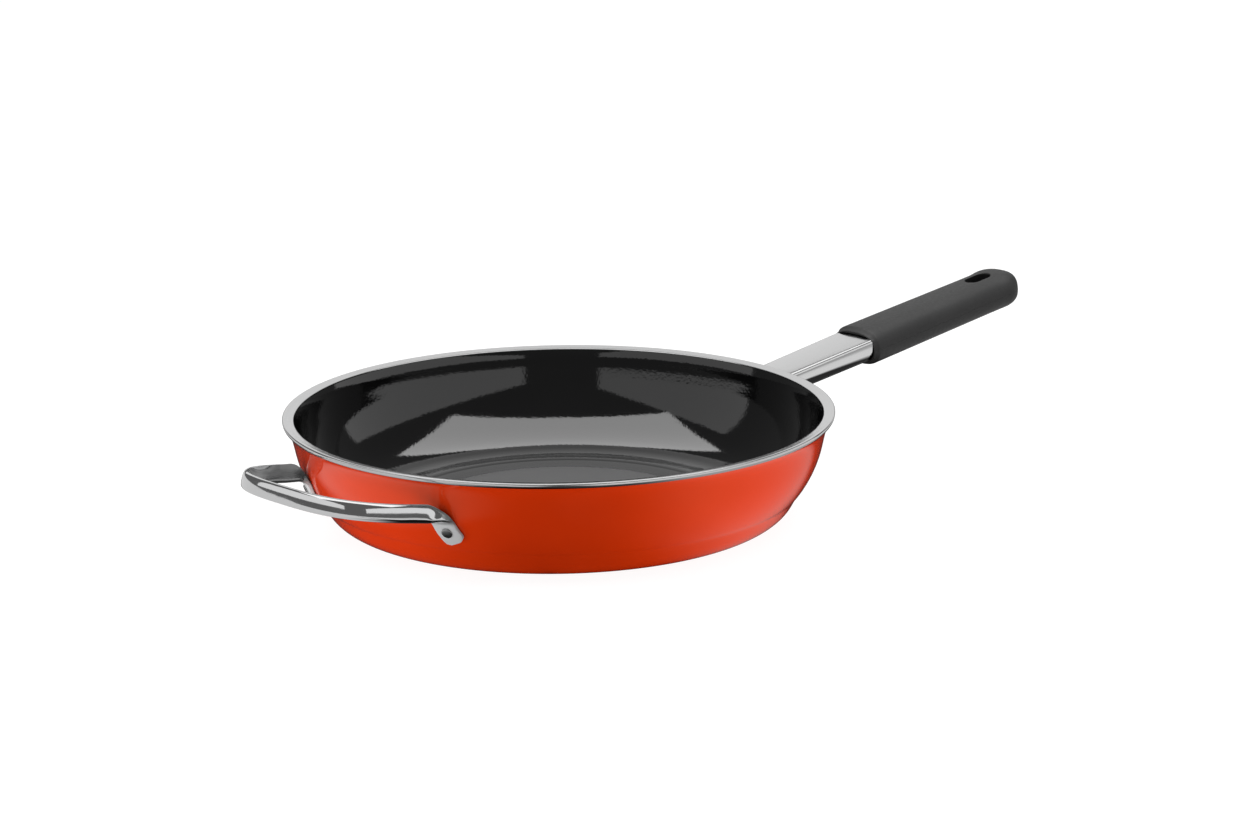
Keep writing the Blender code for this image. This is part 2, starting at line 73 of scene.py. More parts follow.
HANDLE_RISE = math.radians(6.94)
HANDLE_AXIS_HEIGHT = 22.5
NECK_AT_WALL, NECK_END, MOUTH = 141.0, 262.0, 222.3
NECK_HALF_WIDTH, NECK_TOP = (12.7, 13.9), (5.3, 6.0)
NECK_CROWN, NECK_BOTTOM, NECK_SHEET = 0.9, -5.6, 1.5
NECK_STEPS = 14
INSERT_START = 176.0
GRIP_CHAMFER_END, GRIP_END = 225.5, 351.5
GRIP_HALF_WIDTH, GRIP_HALF_HEIGHT, GRIP_SQUARENESS = 16.0, 10.55, 2.6
GRIP_TAPER = 0.04
CHAMFER = ((1.35, 0.35), (1.95, 0.4))     # inset of width and height at its start and end
GROOVE = 0.16                     # depth of the parting line along both sides
TAIL_LENGTH, TAIL_HALF_WIDTH, TAIL_HALF_HEIGHT, TAIL_LIFT = 30.0, 16.3, 10.6, 0.5
SLOT_CENTRE, SLOT_LENGTH, SLOT_WIDTH = 326.2, 17.4, 8.9
# How far the slot's edge stands out from its walls, and how far above the grip's top.
SLOT_LIP = [(1.2, 1.1), (0.75, 0.42), (0.4, 0.1), (0.05, -0.25), (0.0, -0.9)]

LOOP_START, LOOP_END, LOOP_HALF_WIDTH, LOOP_SQUARENESS = 126.3, 178.7, 51.0, 2.94
LOOP_HEIGHT = (36.1, 46.3)
BAR_HALF_WIDTH, BAR_HALF_HEIGHT, BAR_SQUARENESS = 3.4, 4.5, 3.4
BAR_TAPER = (0.3, 0.9)            # how much narrower its top is, outside and inside
FOOT_HALF_WIDTH, FOOT_HALF_THICKNESS = 5.8, 1.3
FOOT_HEIGHTS = (21.2, 27.0, 31.5)
FOOT_ANGLE = (25.3, 23.9, 23.1)
BEND = ((-126.8, 53.6, 35.0), (-131.6, 52.1, 37.2))
PLATE_END, BAR_START = 12.0, 25.0     # distance along the loop where foot ends and bar starts
LOOP_FROM = -138.0                # the loop's own curve is used beyond this x
FOOT_TIP = 3.2                    # length of the foot's rounded end
# Radius, and height above the foot's face, from the shank to the middle of the head.
RIVET_HEAD = [(1.9, -0.2), (2.78, -0.1), (2.82, 0.28), (2.7, 0.5), (2.45, 0.62), (1.9, 0.7),
              (1.0, 0.78), (0, 0.8)]


# --- materials ------------------------------------------------------------------

class Nodes:
    """Short way to add and link shader nodes."""

    def __init__(self, name):
        self.mat = bpy.data.materials.new(name)
        self.mat.use_nodes = True
        self.tree = self.mat.node_tree
        self.shader = self.tree.nodes["Principled BSDF"]
        self.place = self.add("ShaderNodeTexCoord").outputs["Object"]

    def add(self, kind, **values):
        node = self.tree.nodes.new(kind)
        for key, value in values.items():
            setattr(node, key, value)
        return node

    def link(self, source, target):
        self.tree.links.new(source, target)

    def noise(self, scale, detail=3.0, stretch=None):
        place = self.place
        if stretch:
            mapping = self.add("ShaderNodeMapping")
            mapping.inputs["Scale"].default_value = stretch
            self.link(place, mapping.inputs["Vector"])
            place = mapping.outputs["Vector"]
        node = self.add("ShaderNodeTexNoise")
        node.inputs["Scale"].default_value = scale
        node.inputs["Detail"].default_value = detail
        self.link(place, node.inputs["Vector"])
        return node.outputs["Fac"]

    def spread(self, source, low, high, from_low=0.3, from_high=0.7):
        node = self.add("ShaderNodeMapRange")
        for key, value in (("From Min", from_low), ("From Max", from_high),
                           ("To Min", low), ("To Max", high)):
            node.inputs[key].default_value = value
        self.link(source, node.inputs["Value"])
        return node.outputs["Result"]

    def vector_math(self, operation, source, other=None):
        node = self.add("ShaderNodeVectorMath", operation=operation)
        self.link(source, node.inputs[0])
        if other is not None:
            node.inputs[1].default_value = other
        return node.outputs["Value" if operation in ("LENGTH", "DOT_PRODUCT") else "Vector"]

    def math(self, operation, a, b):
        node = self.add("ShaderNodeMath", operation=operation)
        self.link(a, node.inputs[0])
        self.link(b, node.inputs[1])
        return node.outputs["Value"]

    def colours(self, source, low, high):
        node = self.add("ShaderNodeMix", data_type="RGBA")
        node.inputs["A"].default_value = (*low, 1.0)
        node.inputs["B"].default_value = (*high, 1.0)
        self.link(source, node.inputs["Factor"])
        self.link(node.outputs["Result"], self.shader.inputs["Base Color"])

    def bump(self, source, strength, distance):
        node = self.add("ShaderNodeBump")
        node.inputs["Strength"].default_value = strength
        node.inputs["Distance"].default_value = distance
        self.link(source, node.inputs["Height"])
        self.link(node.outputs["Normal"], self.shader.inputs["Normal"])

    def change(self, factor, key, value, data_type="FLOAT"):
        """The shader's linked input gets this value where factor is 1."""
        target = self.shader.inputs[key]
        node = self.add("ShaderNodeMix", data_type=data_type)
        self.link(factor, node.inputs["Factor"])
        self.link(target.links[0].from_socket, node.inputs["A"])
        node.inputs["B"].default_value = value
        self.link(node.outputs["Result"], target)

    def set(self, **values):
        names = {"metallic": "Metallic", "ior": "IOR", "specular": "Specular IOR Level",
                 "tint": "Specular Tint"}
        for key, value in values.items():
            self.shader.inputs[names[key]].default_value = value


def enamel(name, low, high, roughness, waves=(55.0, 3e-6)):
    """Fired glass coat: almost even colour, faint waviness."""
    n = Nodes(name)
    n.colours(n.spread(n.noise(38.0, 2.0), 0.0, 1.0), low, high)
    n.link(n.spread(n.noise(900.0, 4.0), *roughness), n.shader.inputs["Roughness"])
    n.bump(n.noise(waves[0], 2.0), 1.0, waves[1])
    return n


def rough_middle_painted_sheen(n, edge, roughness, colour):
    """The flat middle of the cooking surface, inside this radius, is duller than the rest:
    rougher, and of a lighter grey that is partly painted sheen.
    """
    reach = n.vector_math("LENGTH", n.vector_math("MULTIPLY", n.place, (1, 1, 0)))
    inside = n.spread(reach, 1.0, 0.0, edge - 0.001, edge + 0.001)
    n.change(inside, "Roughness", roughness)
    # The lighter grey of the middle is in part painted sheen.
    n.change(inside, "Base Color", colour, "RGBA")


def polished_steel(name, base, roughness, stretch):
    """Polished stainless steel: fine polishing lines and faint smudges."""
    n = Nodes(name)
    n.colours(n.spread(n.noise(9.0, 3.0), 0.0, 1.0),
              (base * 0.96, base * 0.965, base * 0.975), (base, base, base))
    n.link(n.spread(n.noise(22.0, 6.0, stretch), *roughness), n.shader.inputs["Roughness"])
    n.bump(n.noise(26.0, 3.0, stretch), 0.02, 0.0002)
    n.set(metallic=1.0)
    return n


def satin_below(n, height, roughness, metallic):
    """The part of a polished piece below this height is satin."""
    split = n.add("ShaderNodeSeparateXYZ")
    n.link(n.place, split.inputs["Vector"])
    low = n.spread(split.outputs["Z"], 1.0, 0.0, height - 0.002, height + 0.002)
    n.change(low, "Roughness", roughness)
    n.link(n.spread(low, 1.0, metallic, 0.0, 1.0), n.shader.inputs["Metallic"])


def plain(name, base, roughness, metallic=1.0):
    """Unpolished steel, or with no metallic the moulded insert."""
    n = Nodes(name)
    n.colours(n.noise(60.0, 4.0), (base * 0.85,) * 3, (base,) * 3)
    n.link(n.spread(n.noise(240.0, 4.0), roughness * 0.8, roughness * 1.25),
           n.shader.inputs["Roughness"])
    n.set(metallic=metallic)
    return n


def soft_touch(name, base, specular):
    """Soft-touch plastic: fine even grain, broad dull sheen."""
    n = Nodes(name)
    n.colours(n.spread(n.noise(30.0, 4.0), 0.0, 1.0), (base * 0.82,) * 3, (base,) * 3)
    n.link(n.spread(n.noise(500.0, 3.0), 0.52, 0.62), n.shader.inputs["Roughness"])
    n.bump(n.noise(2600.0, 2.0), 0.10, 0.00012)
    n.set(specular=specular)
    return n


ORANGE = enamel("orange_enamel", (0.59, 0.031, 0.0022), (0.61, 0.033, 0.0026), (0.045, 0.055))
ORANGE.set(tint=(1.0, 0.8, 0.5, 1))
BLACK = enamel("black_enamel", (0.0022, 0.0022, 0.0023), (0.0028, 0.0028, 0.0029),
               (0.045, 0.075), (650.0, 2.5e-5))
BLACK.set(ior=1.6)
rough_middle_painted_sheen(BLACK, 0.0735, 0.62, (0.045, 0.045, 0.0455, 1))
BASE = enamel("base_enamel", (0.006, 0.006, 0.0062), (0.009, 0.009, 0.0092), (0.12, 0.2))
RIM_STEEL = polished_steel("rim_steel", 0.62, (0.09, 0.15), (20.0, 20.0, 200.0))
NECK_STEEL = polished_steel("neck_steel", 0.66, (0.10, 0.16), (3.0, 60.0, 60.0))
LOOP_STEEL = polished_steel("loop_steel", 0.7, (0.05, 0.09), (12.0, 12.0, 30.0))
satin_below(LOOP_STEEL, 0.032, 0.6, 0.4)
STUD_STEEL = plain("stud_steel", 0.42, 0.28)
HIDDEN_STEEL = plain("plain_steel", 0.5, 0.38)
GRIP_BLACK = soft_touch("soft_grip", 0.021, 0.3)
# Darker copy of the grip's plastic for the slot's walls: painted shade inside the slot.
SLOT_PAINTED_SHADE = soft_touch("slot_painted_shade", 0.006, 0.15)
INSERT_BLACK = plain("insert_black", 0.02, 0.5, 0.0)


# --- mesh tools -------------------------------------------------------------------

def smooth_object(name, bm, look, place=None):
    """Object made from a closed bmesh in millimetres, which is freed."""
    bmesh.ops.recalc_face_normals(bm, faces=bm.faces)
    bmesh.ops.scale(bm, vec=(MM, MM, MM), verts=bm.verts)
    mesh = bpy.data.meshes.new(name)
    bm.to_mesh(mesh)
    bm.free()
    mesh.shade_smooth()
    mesh.materials.append(look.mat)
    obj = bpy.data.objects.new(name, mesh)
    bpy.context.scene.collection.objects.link(obj)
    if place:
        obj.matrix_world = place
    return obj


def piece(name, bm, look, replaced, sharp=40.0, place=None):
    """Smooth piece that rides on the root body and stands for one CAD node."""
    obj = smooth_object(name, bm, look, place)
    obj.data.set_sharp_from_angle(angle=math.radians(sharp))
    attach(obj, "root")
    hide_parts(replaced)
    return obj


def revolved(section, segments=SEGMENTS):
    bm = bmesh.new()
    columns = []
    for radius, height in section:
        if radius < 1e-6:
            columns.append([bm.verts.new((0, 0, height))] * segments)
            continue
        columns.append([
            bm.verts.new((radius * math.cos(2 * math.pi * k / segments),
                          radius * math.sin(2 * math.pi * k / segments), height))
            for k in range(segments)
        ])
    for this, after in zip(columns, columns[1:] + columns[:1]):
        for k in range(segments):
            j = (k + 1) % segments
            corners = [this[k], this[j], after[j], after[k]]
            face = [v for i, v in enumerate(corners) if v not in corners[:i]]
            if len(face) > 2:
                bm.faces.new(face)
    return bm


def lofted(rings):
    bm = bmesh.new()
    loops = [[bm.verts.new(point) for point in ring] for ring in rings]
    count = len(loops[0])
    for this, after in zip(loops, loops[1:]):
        for k in range(count):
            j = (k + 1) % count
            bm.faces.new((this[k], this[j], after[j], after[k]))
    bm.faces.new(loops[0][::-1])
    bm.faces.new(loops[-1])
    return bm


def blend(pair, share):
    return pair[0] + (pair[1] - pair[0]) * share


def ease(share):
    share = min(max(share, 0.0), 1.0)
    return share * share * (3 - 2 * share)


def superellipse(half_a, half_b, squareness, count, shift=0.5):
    points = []
    for k in range(count):
        angle = 2 * math.pi * (k + shift) / count
        c, s = math.cos(angle), math.sin(angle)
        points.append((math.copysign(abs(c) ** (2 / squareness), c) * half_a,
                       math.copysign(abs(s) ** (2 / squareness), s) * half_b))
    return points


def smooth_curve(points, steps):
    """Catmull-Rom curve through these points, of any dimension."""
    points = [Vector(p) for p in points]
    ends = [2 * points[0] - points[1]] + points + [2 * points[-1] - points[-2]]
    curve = []
    for a, b, c, d in zip(ends, ends[1:], ends[2:], ends[3:]):
        for k in range(steps):
            t = k / steps
            curve.append(0.5 * ((2 * b) + (c - a) * t + (2 * a - 5 * b + 4 * c - d) * t ** 2
                                + (3 * b - a - 3 * c + d) * t ** 3))
    return curve + [points[-1]]


def running_lengths(points):
    lengths = [0.0]
    for a, b in zip(points, points[1:]):
        lengths.append(lengths[-1] + (b - a).length)
    return lengths


def evened(points, spacing, softening):
    """The same path at even spacing, its kinks softened by this many passes."""
    points = [Vector(p) for p in points]
    lengths = running_lengths(points)
    count = max(int(lengths[-1] / spacing), 2)
    result, segment = [], 0
    for k in range(count + 1):
        along = lengths[-1] * k / count
        while segment < len(points) - 2 and lengths[segment + 1] < along:
            segment += 1
        span = lengths[segment + 1] - lengths[segment]
        result.append(points[segment].lerp(points[segment + 1], (along - lengths[segment]) / span))
    for _ in range(softening):
        result = [result[0]] + [
            (a + 2 * b + c) / 4 for a, b, c in zip(result, result[1:], result[2:])
        ] + [result[-1]]
    return result


# --- pan body -----------------------------------------------------------------------

def arc(start, radius, lean_from, lean_to, steps):
    """Points curving up and out from start while the wall's lean changes."""
    low = math.radians(lean_from)
    points = []
    for k in range(steps + 1):
        turn = low + (math.radians(lean_to) - low) * k / steps
        points.append((start[0] + radius * (math.cos(turn) - math.cos(low)),
                       start[1] + radius * (math.sin(low) - math.sin(turn))))
    return points


def outer_path():
    corner = arc((BASE_RADIUS, 0.12), CORNER_RADIUS, 90.0, CORNER_LEAN, 18)
    wall = arc(STEP, WALL_RADIUS, *WALL_LEAN, WALL_STEPS)
    flare = smooth_curve([wall[-1], WALL_TOP, *FLARE, FLANGE_EDGE], 6)[1:]
    path = [(103.3, 0.05)] + corner + [(122.75, 13.9)] + wall[1:] + pairs(flare)
    return evened(path, 0.7, 2)


def inner_path():
    wall = []
    for k, (r, z) in enumerate(arc(STEP, WALL_RADIUS, *WALL_LEAN, WALL_STEPS)):
        lean = math.radians(blend(WALL_LEAN, k / WALL_STEPS))
        wall.append((r - WALL_THICKNESS * math.cos(lean), z + WALL_THICKNESS * math.sin(lean)))
    end = math.asin(1 - (wall[0][1] - BASE_THICKNESS) / COVE_RADIUS)
    cove = []
    for k in range(19):
        turn = math.pi / 2 + (end - math.pi / 2) * k / 20
        cove.append((FLOOR_RADIUS + COVE_RADIUS * math.cos(turn),
                     BASE_THICKNESS + COVE_RADIUS * (1 - math.sin(turn))))
    top = smooth_curve([wall[-1], *INNER_FLARE], 6)[1:]
    return evened(cove + wall + pairs(top), 0.8, 4)


def pairs(path):
    return [tuple(point) for point in path]


def offset(path, distance):
    """The path moved to its left by this distance."""
    moved = []
    for k, point in enumerate(path):
        along = path[min(k + 1, len(path) - 1)] - path[max(k - 1, 0)]
        along.normalize()
        moved.append(point + Vector((-along.y, along.x)) * distance)
    return moved


OUTER = outer_path()
INNER = inner_path()


def wall_radius_at(height):
    for a, b in zip(OUTER, OUTER[1:]):
        if a.y <= height <= b.y and b.y > a.y:
            return a.x + (b.x - a.x) * (height - a.y) / (b.y - a.y)
    return OUTER[-1].x if height > OUTER[-1].y else OUTER[0].x


def wall_normal_at(height):
    run = wall_radius_at(height + 1.5) - wall_radius_at(height - 1.5)
    return Vector((3.0, -run)).normalized()


def build_pan():
    section = pairs(OUTER) + pairs(offset(OUTER, COAT)[::-1])
    outside = piece("pan_outside", revolved(section), ORANGE, "outer_enamel")
    # Keeps the wall's red out of the polished steel beside it.
    outside.visible_glossy = False

    floor = [(radius, BASE_THICKNESS - depth) for radius, depth in [(0, 0)] + FLOOR_RINGS]
    low = BASE_THICKNESS - COAT - 0.35
    section = floor + pairs(INNER) + pairs(offset(INNER, -COAT)[::-1]) + [(60, low), (0, low)]
    piece("pan_inside", revolved(section), BLACK, "inner_enamel")

    core = [(0, 0.56), (103.4, 0.56)] + pairs(offset(OUTER[2:-2], COAT + CORE_GAP))
    core += [(139.0, 53.0), (135.4, 53.1)]
    core += pairs(offset(INNER[:-2], -COAT - CORE_GAP)[::-1]) + [(0, 3.4)]
    piece("pan_core", revolved(core, 120), HIDDEN_STEEL, "steel_body")

    piece("pan_base", revolved(BASE_SECTION), BASE, "base_enamel")

    ring = pairs(smooth_curve(RIM, 3)) + RIM_UNDERSIDE
    piece("rim", revolved(ring), RIM_STEEL, "rim_ring", 60.0)


# --- long handle --------------------------------------------------------------------

HANDLE_PLACE = (Matrix.Translation((0, 0, HANDLE_AXIS_HEIGHT * MM))
                @ Matrix.Rotation(-HANDLE_RISE, 4, "Y"))


def neck_share(s):
    return min(max((s - NECK_AT_WALL) / (MOUTH - NECK_AT_WALL), 0.0), 1.0)


def neck_half(s, grow=0.0):
    """One half of the neck's section, from its lower edge up and over to the middle."""
    share = neck_share(s)
    width = blend(NECK_HALF_WIDTH, share) + grow
    top = blend(NECK_TOP, share) + grow
    bottom = NECK_BOTTOM - max(grow, 0.0)
    edge = width - 1.5
    side = smooth_curve([(width - 3.6, bottom), (width - 1.3, bottom + 2.4),
                         (width - 0.1, bottom + 5.0), (width, top - 2.6), (width - 0.4, top - 0.8),
                         (edge, top)], 5)
    crown = [Vector((edge * (1 - k / 8), top + NECK_CROWN * (1 - (1 - k / 8) ** 2)))
             for k in range(9)]
    before, crease, after = side[-2], side[-1], crown[1]
    between = crease.lerp(before, 0.5).lerp(crease.lerp(after, 0.5), 0.5)
    soft = [crease.lerp(before, 0.35), crease.lerp(between, 0.35), crease.lerp(after, 0.25)]
    return side[:-1] + soft + crown[1:]


def neck_section(s, grow=0.0):
    half = neck_half(s, grow)
    return [(p.x, p.y) for p in half] + [(-p.x, p.y) for p in half[-2::-1]]


def wall_start(y, u):
    """Distance along the handle at which a line at (y, u) leaves the wall, by repeated steps."""
    s = 135.0
    for _ in range(12):
        x = s * math.cos(HANDLE_RISE) - u * math.sin(HANDLE_RISE)
        z = HANDLE_AXIS_HEIGHT + s * math.sin(HANDLE_RISE) + u * math.cos(HANDLE_RISE)
        target = math.sqrt(max((wall_radius_at(z) + 0.05) ** 2 - y * y, 0.0))
        s += (target - x) / math.cos(HANDLE_RISE)
    return s


def build_neck():
    """Folded sheet, open below, from the wall to inside the grip."""
    bm = bmesh.new()
    rings = []
    for step in range(NECK_STEPS + 1):
        ring = []
        for grow in (0.0, -NECK_SHEET):
            row = []
            for k, (y, u) in enumerate(neck_section(NECK_AT_WALL, grow)):
                s = blend((wall_start(y, u), NECK_END), step / NECK_STEPS)
                row.append(bm.verts.new((s, *neck_section(s, grow)[k])))
            ring.append(row)
        rings.append(ring)
    count = len(rings[0][0])
    for (out_a, in_a), (out_b, in_b) in zip(rings, rings[1:]):
        for k in range(count - 1):
            bm.faces.new((out_a[k], out_a[k + 1], out_b[k + 1], out_b[k]))
            bm.faces.new((in_a[k + 1], in_a[k], in_b[k], in_b[k + 1]))
        for k in (0, count - 1):
            bm.faces.new((out_a[k], out_b[k], in_b[k], in_a[k]))
    for outside, inside in (rings[0], rings[-1]):
        for k in range(count - 1):
            bm.faces.new((outside[k], outside[k + 1], inside[k + 1], inside[k]))
    piece("neck", bm, NECK_STEEL, "handle_neck", 45.0, HANDLE_PLACE)


def build_insert():
    """Strip with a lip below the neck's edges and a web between them."""
    rings = []
    low, high = NECK_BOTTOM - 0.08, NECK_BOTTOM + 2.0
    for s, inset in ((INSERT_START, 0.6), (INSERT_START + 0.6, 0.0), (200.0, 0.0),
                     (MOUTH - 0.1, 0.0)):
        web = neck_section(s, -NECK_SHEET)[0][0] - 0.15
        lip = neck_section(s)[0][0] - 0.25 - inset
        ring = [(-lip + 0.5, low - 1.0 + inset), (lip - 0.5, low - 1.0 + inset), (lip, low - 0.6),
                (lip, low), (web, low), (web, high), (-web, high), (-web, low), (-lip, low),
                (-lip, low - 0.6)]
        rings.append([(s, y, u) for y, u in ring])
    piece("insert", lofted(rings), INSERT_BLACK, "neck_insert", 30.0,
          HANDLE_PLACE)


def grip_size(s):
    """Half width, half height and lift of the grip's section at this distance."""
    tail = GRIP_END - TAIL_LENGTH
    along = min(max((s - GRIP_CHAMFER_END) / (tail - GRIP_CHAMFER_END), 0.0), 1.0)
    width = GRIP_HALF_WIDTH * (1 - GRIP_TAPER * along)
    height = GRIP_HALF_HEIGHT * (1 - GRIP_TAPER * along)
    swell = ease((s - tail - 9.0) / 14.0)
    width = blend((width, TAIL_HALF_WIDTH), swell)
    height = blend((height, TAIL_HALF_HEIGHT), swell)
    return width, height, TAIL_LIFT * swell


def grip_ring(s, width, height, lift, groove):
    """Ring with a fine parting groove at half height on both sides."""
    quarter = 15
    ring = []
    for k, (y, u) in enumerate(superellipse(width, height, GRIP_SQUARENESS, 4 * quarter, 0.0)):
        if k in (0, 2 * quarter):
            side = 1 if k == 0 else -1
            for rise, depth in ((-0.5, 0), (-0.22, 0), (0, groove), (0.22, 0), (0.5, 0)):
                ring.append((s, side * (width - depth), side * rise + lift))
            continue
        ring.append((s, y, u + lift))
    return ring


def build_grip():
    """Moulded grip: chamfered mouth round the neck, even length, rounded tail with a slot."""
    rings = []
    mouth_width, mouth_height, _ = grip_size(GRIP_CHAMFER_END)
    neck = [Vector(p) for p in neck_section(MOUTH, 0.25)]
    neck.append(neck[0])

    def neck_edge(y, u):
        """Where a line from the middle towards (y, u) meets the neck's outline."""
        for a, b in zip(neck, neck[1:]):
            across = (b.x - a.x) * u - (b.y - a.y) * y
            if abs(across) < 1e-9:
                continue
            t = (a.y * y - a.x * u) / across
            hit = a + (b - a) * t
            if -1e-6 <= t <= 1 + 1e-6 and hit.x * y + hit.y * u > 0:
                return hit
        return Vector((y, u)) * 0.8

    outer = grip_ring(MOUTH + 0.2, mouth_width - CHAMFER[0][0], mouth_height - CHAMFER[1][0],
                      0.0, 0.0)
    for depth, share in ((5.0, 1.0), (0.9, 1.0), (0.3, 0.93), (0.0, 0.8)):
        ring = []
        for s, y, u in outer:
            hit = neck_edge(y, u)
            ring.append((MOUTH + depth + 0.1, blend((y, hit.x), share), blend((u, hit.y), share)))
        rings.append(ring)
    rings.append(grip_ring(MOUTH, mouth_width - 1.7, mouth_height - 2.3, 0.0, 0.0))
    rings.append(outer)
    for share in (0.25, 0.5, 0.75):
        rings.append(grip_ring(blend((MOUTH + 0.2, GRIP_CHAMFER_END - 0.5), share),
                               mouth_width - blend(CHAMFER[0], share ** 1.2),
                               mouth_height - blend(CHAMFER[1], share ** 1.2), 0.0, 0.05))
    for before_end, width_loss, height_loss, groove in (
            (0.45, 0.28, 0.3, 0.1), (0.1, 0.06, 0.06, GROOVE), (-0.5, 0.0, 0.0, GROOVE)):
        rings.append(grip_ring(GRIP_CHAMFER_END - before_end, mouth_width - width_loss,
                               mouth_height - height_loss, 0.0, groove))
    cap_start = GRIP_END - TAIL_HALF_WIDTH
    s = GRIP_CHAMFER_END + 4.0
    while s < cap_start:
        rings.append(grip_ring(s, *grip_size(s), GROOVE))
        s += 4.0 if s < 316 else 1.6
    for k in range(25):
        angle = math.pi / 2 * k / 24.6
        s = cap_start + TAIL_HALF_WIDTH * math.sin(angle)
        width, height, lift = grip_size(s)
        narrow = math.cos(angle)
        rings.append(grip_ring(s, width * narrow ** 0.88, height * narrow ** 0.55, lift,
                               GROOVE * narrow))
    grip = piece("grip_soft", lofted(rings), GRIP_BLACK, "grip", 50.0, HANDLE_PLACE)
    cut_slot(grip)


def cut_slot(grip):
    """Rounded hanging slot right through the grip, with softened edges; its walls are darker, a
    painted shade.
    """
    rings = []
    _, height, lift = grip_size(SLOT_CENTRE)
    radius, reach = SLOT_WIDTH / 2, SLOT_LENGTH / 2 - SLOT_WIDTH / 2
    levels = [(height + lift + rise, out) for out, rise in SLOT_LIP]
    levels += [(-height + lift - rise, out) for out, rise in SLOT_LIP[::-1]]
    for level, out in levels:
        ring = []
        for k in range(64):
            angle = 2 * math.pi * (k + 0.5) / 64
            shift = math.copysign(reach, math.cos(angle))
            ring.append((SLOT_CENTRE + shift + (radius + out) * math.cos(angle),
                         (radius + out) * math.sin(angle), level))
        rings.append(ring)
    # The cutter's darker plastic passes to the slot's walls: painted shade.
    cutter = smooth_object("slot_cutter", lofted(rings), SLOT_PAINTED_SHADE, HANDLE_PLACE)
    modifier = grip.modifiers.new("slot", "BOOLEAN")
    modifier.operation = "DIFFERENCE"
    modifier.solver = "EXACT"
    modifier.material_mode = "TRANSFER"
    modifier.object = cutter
    bpy.context.view_layer.update()
    cut = grip.evaluated_get(bpy.context.evaluated_depsgraph_get())
    mesh = bpy.data.meshes.new_from_object(cut)
    grip.modifiers.clear()
    grip.data = mesh
    mesh.shade_smooth()
    mesh.set_sharp_from_angle(angle=math.radians(38))
    bpy.data.objects.remove(cutter, do_unlink=True)


# --- helper handle --------------------------------------------------------------------

def foot_point(height, angle, distance):
    out, up = wall_normal_at(height)
    radius = wall_radius_at(height) + distance * out
    angle = math.radians(angle)
    return Vector((-radius * math.cos(angle), radius * math.sin(angle), height + distance * up))


def build_helper():
    """Loop of bar, mirrored about its middle, with a flat foot and a rivet at each end."""
    foot = [foot_point(h, a, FOOT_HALF_THICKNESS + 0.05)
            for h, a in zip(FOOT_HEIGHTS, FOOT_ANGLE)]
    bend = [Vector(point) for point in BEND]
    loop = []
    for k in range(15):
        turn = math.pi / 2 * k / 14
        out = LOOP_START + (LOOP_END - LOOP_START) * math.sin(turn) ** (2 / LOOP_SQUARENESS)
        across = LOOP_HALF_WIDTH * math.cos(turn) ** (2 / LOOP_SQUARENESS)
        share = (out - LOOP_START) / (LOOP_END - LOOP_START)
        loop.append(Vector((-out, across, blend(LOOP_HEIGHT, share))))
    control = foot + bend + [p for p in loop if p.x < LOOP_FROM]
    half = evened(smooth_curve(control, 10), 1.3, 4)
    lengths = running_lengths(half)
    foot_turn = math.radians(FOOT_ANGLE[1])
    tangent = Vector((math.sin(foot_turn), math.cos(foot_turn), 0.0))
    rings = []
    for k, point in enumerate(half):
        along = (half[min(k + 1, len(half) - 1)] - half[max(k - 1, 0)]).normalized()
        if k == len(half) - 1:
            along = Vector((0, -1, 0))
        level = along.cross(Vector((0, 0, 1))).normalized()
        turn = ease((lengths[k] - PLATE_END - 2.0) / (BAR_START - PLATE_END))
        across = tangent.lerp(level, turn)
        across = (across - along * across.dot(along)).normalized()
        thick = across.cross(along).normalized()
        grow = ease((lengths[k] - PLATE_END) / (BAR_START - PLATE_END))
        width = blend((FOOT_HALF_WIDTH, BAR_HALF_WIDTH), grow)
        height = blend((FOOT_HALF_THICKNESS, BAR_HALF_HEIGHT), grow)
        squareness = blend((5.0, BAR_SQUARENESS), grow)
        if lengths[k] < FOOT_TIP:
            width *= 0.6 + 0.4 * math.sqrt(1 - (1 - lengths[k] / FOOT_TIP) ** 2)
        rings.append([
            point + across * a * (1 - grow * BAR_TAPER[a < 0] * max(b / height, -0.6)) + thick * b
            for a, b in superellipse(width, height, squareness, 40)
        ])
    mirrored = [[Vector((p.x, -p.y, p.z)) for p in ring] for ring in rings[-2::-1]]
    piece("helper_loop", lofted(rings + mirrored), LOOP_STEEL,
          "helper_handle")

    for side, name in ((1, "left"), (-1, "right")):
        angle = math.pi - side * math.radians(FOOT_ANGLE[1])
        radius = wall_radius_at(FOOT_HEIGHTS[1])
        out, up = wall_normal_at(FOOT_HEIGHTS[1])
        normal = Vector((out * math.cos(angle), out * math.sin(angle), up))
        place = Matrix.LocRotScale(
            Vector((radius * math.cos(angle), radius * math.sin(angle), FOOT_HEIGHTS[1])) * MM,
            normal.to_track_quat("Z", "Y"), None)
        seat = 2 * FOOT_HALF_THICKNESS + 0.05
        rivet = [(0, 0.2), (1.9, 0.2)] + [(reach, seat + rise) for reach, rise in RIVET_HEAD]
        piece(f"helper_rivet_{name}", revolved(rivet, 40), STUD_STEEL,
              f"helper_stud_{name}", 50.0, place)


build_pan()
build_neck()
build_insert()
build_grip()
build_helper()
# The CAD nodes that still show are the plain steel parts inside the long handle.
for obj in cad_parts.values():
    if not obj.hide_render:
        obj.data.materials.clear()
        obj.data.materials.append(HIDDEN_STEEL.mat)

# --- camera ---------------------------------------------------------------------------

